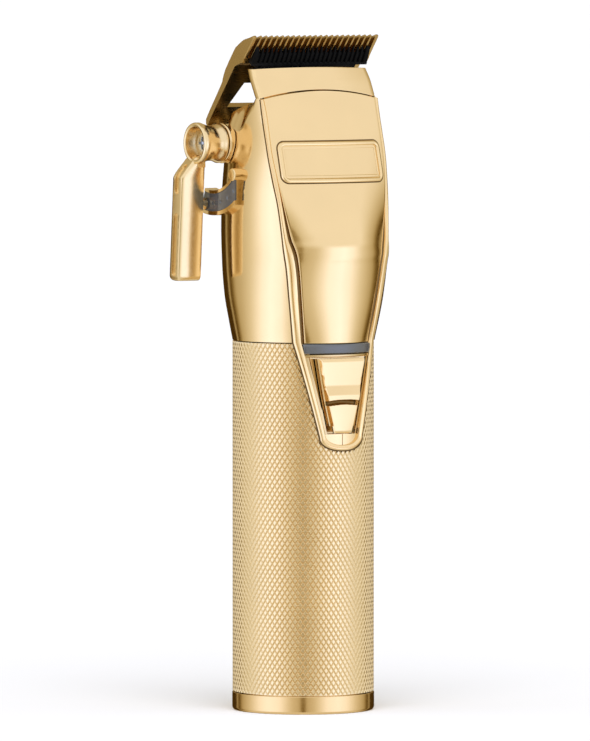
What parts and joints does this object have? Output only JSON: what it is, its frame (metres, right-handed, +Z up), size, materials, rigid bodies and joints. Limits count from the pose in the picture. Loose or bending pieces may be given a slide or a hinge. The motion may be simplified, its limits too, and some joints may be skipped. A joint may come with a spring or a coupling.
{
  "type": "hair clipper",
  "caption": "Cordless hair clipper with a knurled round grip, a tapered toothed blade set, a side taper lever and a sliding power switch.",
  "frame": {"origin": "centre of the end cap's flat bottom face, on which the clipper stands", "axes": "+Z up along the barrel towards the blade, the badge and switch face -Y, the taper lever is on -X"},
  "size_m": [0.0534, 0.0423, 0.1814],
  "materials": {
    "polished_gold": "mirror polished",
    "knurled_gold": "fine diamond knurl",
    "blade_gold": "satin coated",
    "black_steel": "dark coated, satin",
    "steel": "satin",
    "copper": "satin",
    "smoked_plastic": "gloss",
    "black_plastic": "fine texture",
    "green_board": "satin",
    "battery_wrap": "satin",
    "clear_plastic": "clear"
  },
  "bodies": {
    "root": {"grip_barrel": "knurled_gold", "end_cap": "polished_gold", "charge_jack": "black_plastic", "jack_pin": "steel", "charge_contact_left": "steel", "charge_contact_right": "steel", "cap_screw_left": "steel", "cap_screw_right": "steel", "battery_cell": "battery_wrap", "battery_tray": "black_plastic", "battery_tab_lower": "steel", "battery_tab_upper": "steel", "circuit_board": "green_board", "micro_switch": "black_plastic", "indicator_led": "clear_plastic", "motor_can": "steel", "stator_ring": "copper", "motor_end_plate": "black_plastic", "motor_bracket": "steel", "bracket_screw_left": "steel", "bracket_screw_right": "steel", "motor_bearing": "steel", "head_housing": "polished_gold", "front_frame": "polished_gold", "front_cover": "polished_gold", "badge_plate": "polished_gold", "nose_cap": "polished_gold", "light_strip": "smoked_plastic", "switch_bed": "polished_gold", "cover_screw_lower": "steel", "cover_screw_upper": "steel", "fixed_blade": "blade_gold", "blade_mount": "steel", "blade_screw_left": "steel", "blade_screw_right": "steel", "detent_sector": "polished_gold", "detent_insert": "smoked_plastic", "lever_bushing": "polished_gold"},
    "lever": {"taper_lever": "polished_gold", "lever_screw": "steel", "lever_shaft": "steel"},
    "carriage": {"taper_carriage": "steel", "tension_spring": "steel"},
    "cutter": {"moving_cutter": "black_steel", "drive_yoke": "black_plastic"},
    "rotor": {"motor_shaft": "steel", "eccentric_crank": "steel", "crank_sleeve": "copper"},
    "slider": {"power_slider": "polished_gold", "slider_stem": "black_plastic"}
  },
  "joints": [
    {"name": "lever_turn", "type": "hinge", "parent": "root", "child": "lever", "pos_m": [-0.0248, 0.00975, 0.1525], "axis": [-1, 0, 0], "range_deg": [0, 50]},
    {"name": "taper_slide", "type": "slide", "parent": "root", "child": "carriage", "axis": [0, -0.6428, 0.766], "range_m": [0, 0.0025]},
    {"name": "cutter_stroke", "type": "slide", "parent": "carriage", "child": "cutter", "axis": [1, 0, 0], "range_m": [-0.0013, 0.0013]},
    {"name": "rotor_spin", "type": "hinge", "parent": "root", "child": "rotor", "pos_m": [0, 0.001, 0.12], "axis": [0, 0, 1], "continuous": true},
    {"name": "power_slide", "type": "slide", "parent": "root", "child": "slider", "axis": [0, 0, -1], "range_m": [0, 0.002]}
  ],
  "couplings": [
    {"joint": "taper_slide", "follows": "lever_turn", "m_per_rad": 0.0028647}
  ]
}
